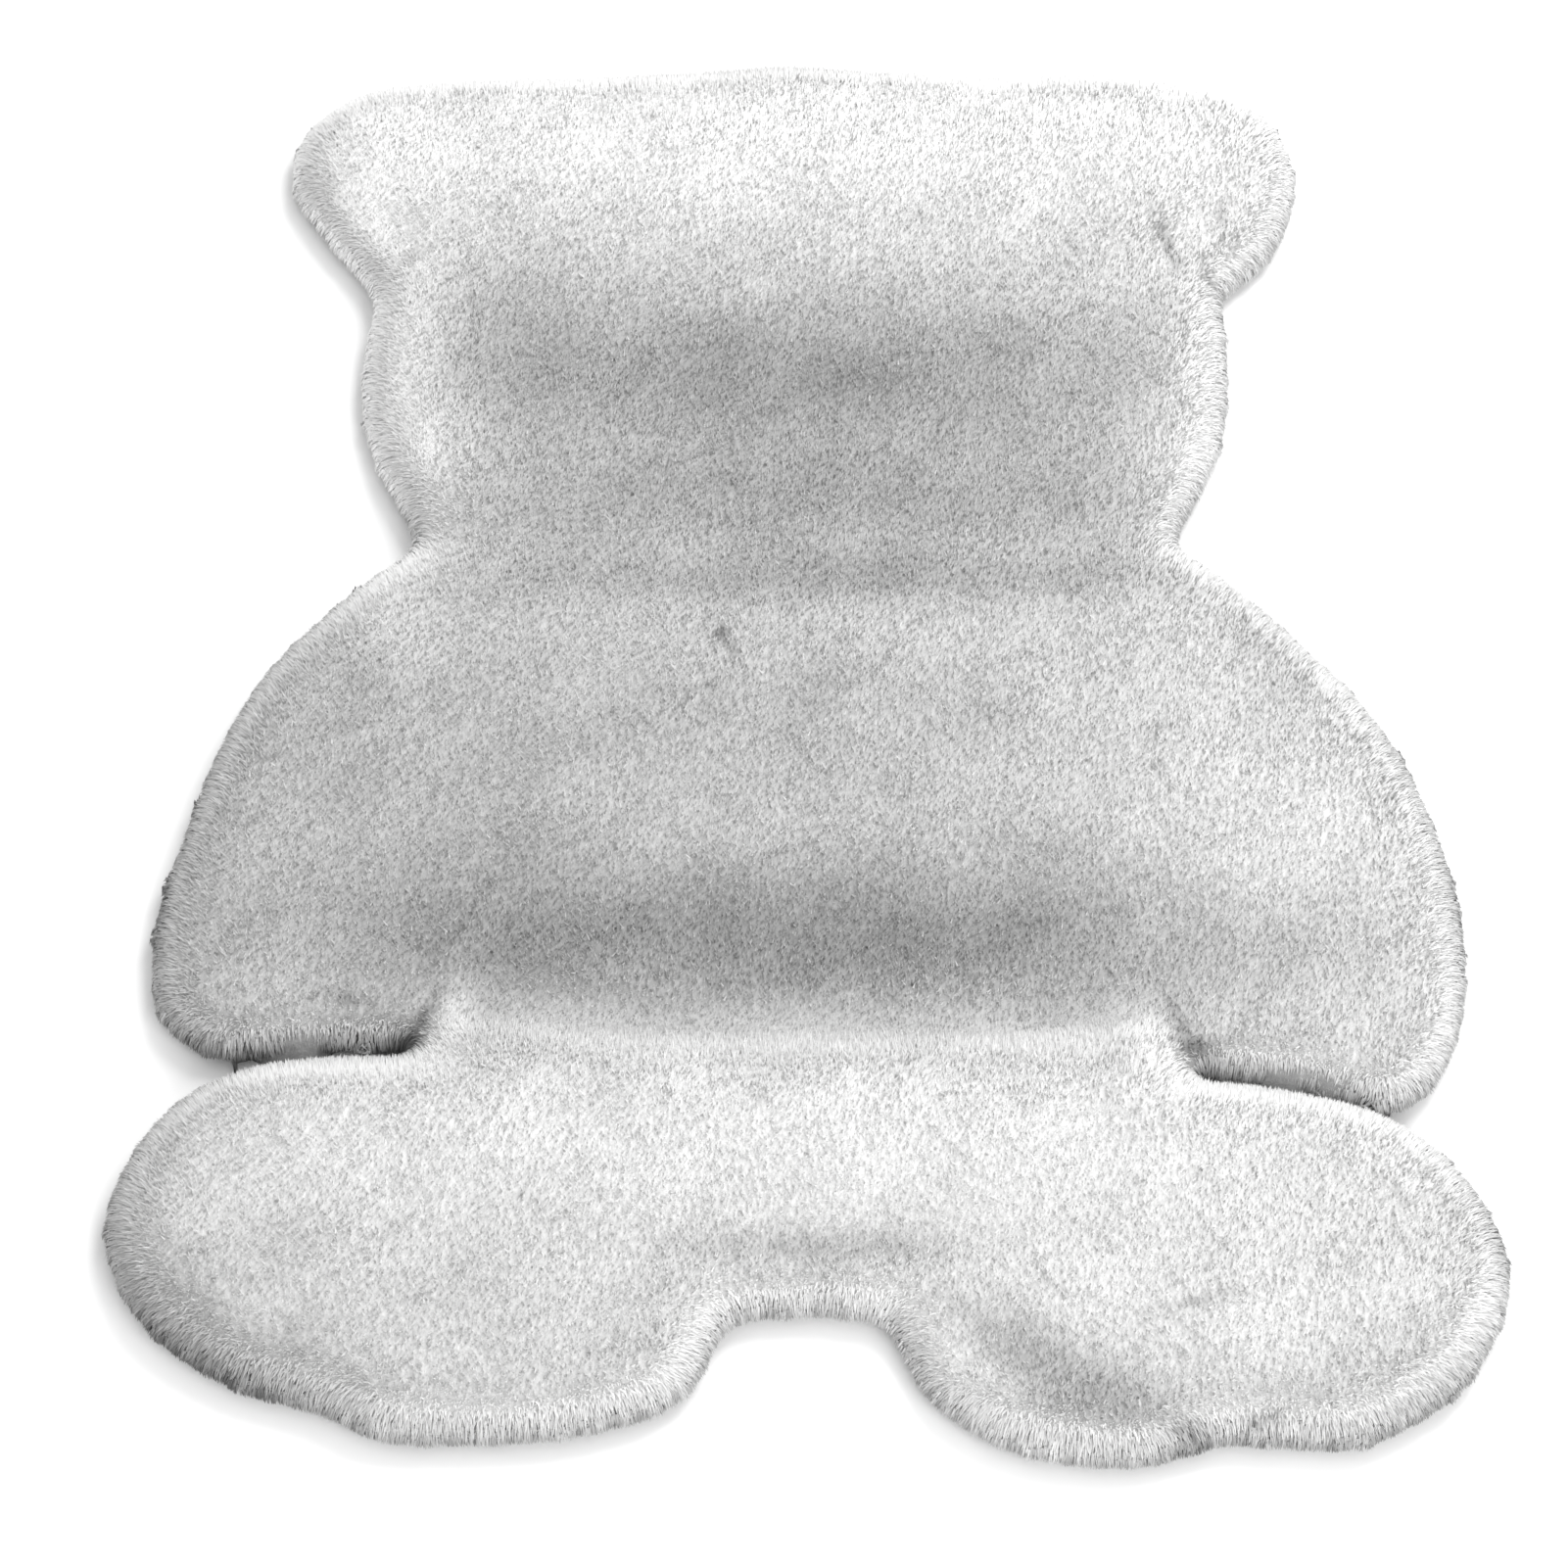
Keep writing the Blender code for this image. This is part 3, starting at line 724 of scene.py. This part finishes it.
def grow(pile):
    """All wisps: the middle of the root, the tip, the way the rug faces there, the half-width at
    the root and the tone.

    Each wisp's tip lies at a point of the coat, give or take a little, and its root below. It
    stands along the coat's normal, with a lean to the feet and to a side of its own; on the flanks
    it is combed down, and gathers with its neighbours in locks.
    """
    random = np.random.default_rng(SEED)
    points, normals, _, corners = coat(pile.spacing, SOFTENINGS)
    grows = (normals[:, 2] > LEAST_NORMAL) & (points[:, 2] > LEAST_HEIGHT)
    grows &= area_kept(points, corners, pile.spacing) > LEAST_AREA
    points, normals = points[grows], normals[grows]
    count = len(points)
    x, y = points[:, 0], points[:, 1]
    flank = np.clip(1 - normals[:, 2], 0, 1)

    turn = -np.pi / 2 + smooth_noise(x, y, SWIRL_WIDTH, random)
    turn = turn + random.normal(0, SWIRL_SPREAD, count)
    lean = pile.swirl * random.uniform(*LEAN_SHARES, count)
    aside = np.column_stack([lean * np.cos(turn), lean * np.sin(turn), np.zeros(count)])
    aside[:, 1] -= pile.nap
    downhill = normals * normals[:, 2:] - (0, 0, 1)
    combed = (pile.comb * flank**COMB_POWER)[:, None]
    loose = 1 - FLANK_HOLD * flank[:, None]
    way = unit(normals + loose * aside + combed * downhill)
    way = unit(way + loose * random.normal(0, STRAY, (count, 3)))

    lock = flank * smooth_noise(x, y, LOCK_WIDTH, random)
    lift = random.normal(*TIP_LIFT, count) * (1 - FLANK_LEVEL * flank)
    lift += RIM_RISE * flank + LOCK_RISE * lock
    shift = TIP_SHIFT * pile.spacing * random.uniform(-1, 1, (count, 3))
    shift -= (shift * normals).sum(axis=1, keepdims=True) * normals
    tip = points + shift + lift[:, None] * normals
    length = pile.length * random.uniform(*LENGTH_SHARES, count) * (1 - FLANK_SHORTER * flank)
    root = tip - length[:, None] * way
    facing = normals + random.normal(0, SHADING_SPREAD, (count, 3))
    facing[:, 2] = np.maximum(facing[:, 2] + SKYWARD * (1 + flank), LEAST_SKYWARD)
    facing = unit(facing)
    half_width = pile.width / 2 * random.uniform(*WIDTH_SHARES, count)
    half_width = half_width * (1 - FLANK_SLIMMER * flank)
    # The tone carries painted light and shade: the patches and creases, the highlight and shade of
    # the rim, and the shade down to the floor; the locks and tufts vary it at random.
    tone = tone_with_painted_shading(x, y) + rim_painted_shading(flank) + pile.locks * lock
    tone -= LOW_SHADE * np.clip(1 - points[:, 2] / SHADE_HEIGHT, 0, 1)
    tuft = TUFT_TONE * smooth_noise(x, y, TUFT_WIDTH, random, TUFT_WAVES)
    tone += (tuft + random.normal(0, WISP_TONE, count)) * (1 - FLANK_EVEN * flank)
    return Wisps(root, tip, facing, half_width, tone)


# Least height of a wisp's points, just above the floor.
LOWEST = 0.0004
# A skew way, which sets how a wisp's three sides are turned. A wisp that ran exactly along it
# would have none, and the random leans make that all but impossible.
SKEW = (0.23, 0.61, 0.75)
# Largest share of the map's width, so that the lightest tone falls in the last column.
LAST_SHARE = 0.999


def wisp_mesh(name, wisps, softness):
    """Wisps as slim closed cones of three sides: three points round the root, square to the line
    from root to tip, joined to the tip. Their shading is drawn towards the way the rug faces, as
    light spreads in pile. Their map runs up from root to tip, in a column of tone."""
    count = len(wisps.root)
    axis = unit(wisps.tip - wisps.root)
    level = unit(np.cross(axis, SKEW))
    other = np.cross(axis, level)
    points = np.empty((count, ROOT_POINTS + 1, 3))
    normals = np.empty_like(points)
    for n in range(ROOT_POINTS):
        turn = 2 * np.pi * n / ROOT_POINTS
        ray = math.cos(turn) * level + math.sin(turn) * other
        points[:, n] = wisps.root + wisps.half_width[:, None] * ray
        normals[:, n] = (1 - softness) * ray + softness * wisps.facing
    points[:, ROOT_POINTS] = wisps.tip
    normals[:, ROOT_POINTS] = wisps.facing
    points[:, :, 2] = np.maximum(points[:, :, 2], LOWEST)
    corners = ((ROOT_POINTS + 1) * np.arange(count)[:, None, None] + WISP_FACES).ravel()
    sizes = np.full(len(WISP_FACES) * count, 3)
    mesh = new_mesh(name, points.reshape(-1, 3), sizes, corners)
    mesh.normals_split_custom_set_from_vertices(unit(normals).reshape(-1, 3))

    share = np.clip((wisps.tone - DARKEST) / (1 - DARKEST), 0, LAST_SHARE)
    column = (np.floor(share * TONES) + 0.5) / TONES
    place = np.empty((count, ROOT_POINTS + 1, 2))
    place[:, :, 0] = column[:, None] + WISP_ON_MAP / TONES * np.array([-0.5, 0.0, 0.5, 0.0])
    place[:, :, 1] = np.array([ROOT_ON_MAP] * ROOT_POINTS + [TIP_ON_MAP])
    uv = place.reshape(-1, 2)[corners]
    for layer_name in ("wisp", "OFBake"):
        layer = mesh.uv_layers.new(name=layer_name)
        layer.uv.foreach_set("vector", uv.astype(np.float32).ravel())
    mesh.uv_layers.active = mesh.uv_layers["wisp"]
    mesh.uv_layers["wisp"].active_render = True
    return mesh


def region_of(points):
    """For each point, the number of its region."""
    number = np.zeros(len(points), int)
    for n, region in enumerate(REGIONS):
        there = points[:, 1] >= region.low
        if region.side:
            there &= np.sign(points[:, 0]) == region.side
        number[there] = n
    return number


class RUG_OT_lay_backing(bpy.types.Operator):
    """Lays the thin backing cloth flat on the floor"""

    bl_idname = "plush_rug.lay_backing"
    bl_label = "Lay Backing Cloth"

    def execute(self, context):
        backing = context.scene.plush_backing
        mesh, area = backing_sheet(backing.thickness)
        cloth = new_piece(mesh, backing_material(backing))
        return {"FINISHED"}


class RUG_OT_grow_bed(bpy.types.Operator):
    """Makes the dense bed of the pile, which stands for the rug's solid"""

    bl_idname = "plush_rug.grow_bed"
    bl_label = "Grow Pile Bed"

    def execute(self, context):
        pile = context.scene.plush_pile
        floor = BED_FLOOR_SHARE * context.scene.plush_backing.thickness
        mesh = bed_mesh(pile.bed_depth, floor)
        bed = new_piece(mesh, bed_material(pile))
        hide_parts(RUG)
        return {"FINISHED"}


class RUG_OT_grow_wisps(bpy.types.Operator):
    """Grows the wisps of the pile, one piece for each region of the rug"""

    bl_idname = "plush_rug.grow_wisps"
    bl_label = "Grow Wisps"

    def execute(self, context):
        pile = context.scene.plush_pile
        material = wisp_material(pile)
        grown = grow(pile)
        number = region_of(grown.tip)
        for n, region in enumerate(REGIONS):
            mine = Wisps(*(part[number == n] for part in grown))
            mesh = wisp_mesh(region.name, mine, pile.softness)
            new_piece(mesh, material)
        return {"FINISHED"}


class RUG_OT_set_stage(bpy.types.Operator):
    """Sets up the floor, the light and the camera"""

    bl_idname = "plush_rug.set_stage"
    bl_label = "Set Stage"

    def execute(self, context):
        stage = context.scene.plush_stage
        lay_floor(stage)
        hang_lights(stage)
        place_camera(stage)
        context.scene.view_settings.view_transform = "Standard"
        return {"FINISHED"}


# Half the side of the floor, its roughness and how glossy it is.
FLOOR = 6.0
FLOOR_ROUGHNESS = 0.8
FLOOR_GLOSS = 0.2


def lay_floor(stage):
    """A plain pale floor, level and matt: a square at the height of the rug's underside."""
    points = FLOOR * np.array([(-1, -1, 0), (1, -1, 0), (1, 1, 0), (-1, 1, 0)])
    mesh = new_mesh("floor", points, np.array([4]), np.arange(4), False)
    material, _, _, shader = new_material("plain floor")
    shader.inputs["Base Color"].default_value = (*stage.floor_colour, 1.0)
    shader.inputs["Roughness"].default_value = FLOOR_ROUGHNESS
    shader.inputs["Specular IOR Level"].default_value = FLOOR_GLOSS
    mesh.materials.append(material)
    floor = bpy.data.objects.new("floor", mesh)
    bpy.context.scene.collection.objects.link(floor)


# Large round lights, turned to the middle of the rug: the place of each and its share of the power.
Lamp = namedtuple("Lamp", "name x y z share")
LAMPS = [
    Lamp("key_beyond_head", 1.1, 1.5, 2.0, 0.62),
    Lamp("fill_before_feet", 1.1, -1.9, 1.2, 0.38),
]
LAMP_SIZE = 1.6
# Width of the camera's sensor in millimetres, which the lens goes with.
SENSOR = 36.0


def hang_lights(stage):
    """Two large soft lights, from beyond the head and from before the feet, and an even sky."""
    for lamp in LAMPS:
        light = bpy.data.lights.new(lamp.name, "AREA")
        light.shape = "DISK"
        light.size = LAMP_SIZE
        light.energy = stage.lamp_power * lamp.share
        place = Vector((lamp.x, lamp.y, lamp.z))
        hung = bpy.data.objects.new(lamp.name, light)
        hung.location = place
        hung.rotation_euler = (-place).to_track_quat("-Z", "Y").to_euler()
        bpy.context.scene.collection.objects.link(hung)
    world = bpy.data.worlds.new("studio")
    world.use_nodes = True
    sky = world.node_tree.nodes["Background"]
    sky.inputs["Color"].default_value = (1.0, 1.0, 1.0, 1.0)
    sky.inputs["Strength"].default_value = stage.sky_strength
    bpy.context.scene.world = world


def place_camera(stage):
    """The camera, level, looking along +Y and down at the elevation of the photograph."""
    lens = bpy.data.cameras.new("camera")
    lens.lens = stage.lens
    lens.sensor_width = SENSOR
    camera = bpy.data.objects.new("camera", lens)
    back = np.array([0.0, -math.cos(stage.elevation), math.sin(stage.elevation)])
    camera.location = np.array(stage.look_at) + stage.distance * back
    camera.rotation_euler = (math.pi / 2 - stage.elevation, 0.0, 0.0)
    bpy.context.scene.collection.objects.link(camera)
    bpy.context.scene.camera = camera


class RUG_PT_plush(bpy.types.Panel):
    """Lists the steps that make the rug, and their settings"""

    bl_idname = "RUG_PT_plush"
    bl_label = "Plush Rug"
    bl_space_type = "VIEW_3D"
    bl_region_type = "UI"
    bl_category = "Plush Rug"

    def draw(self, context):
        scene = context.scene
        for settings, steps in (
            (scene.plush_backing, (RUG_OT_lay_backing,)),
            (scene.plush_pile, (RUG_OT_grow_bed, RUG_OT_grow_wisps)),
            (scene.plush_stage, (RUG_OT_set_stage,)),
        ):
            box = self.layout.box()
            for name in settings.__annotations__:
                box.prop(settings, name)
            for step in steps:
                box.operator(step.bl_idname)


SETTINGS = {
    "plush_pile": PileSettings,
    "plush_backing": BackingSettings,
    "plush_stage": StageSettings,
}
CLASSES = (
    *SETTINGS.values(), RUG_OT_lay_backing, RUG_OT_grow_bed, RUG_OT_grow_wisps,
    RUG_OT_set_stage, RUG_PT_plush)


def register():
    for each in CLASSES:
        bpy.utils.register_class(each)
    for name, each in SETTINGS.items():
        setattr(bpy.types.Scene, name, PointerProperty(type=each))


def unregister():
    for name in SETTINGS:
        delattr(bpy.types.Scene, name)
    for each in reversed(CLASSES):
        bpy.utils.unregister_class(each)


def main():
    register()
    bpy.ops.plush_rug.lay_backing()
    bpy.ops.plush_rug.grow_bed()
    bpy.ops.plush_rug.grow_wisps()
    bpy.ops.plush_rug.set_stage()


if __name__ == "__main__":
    main()
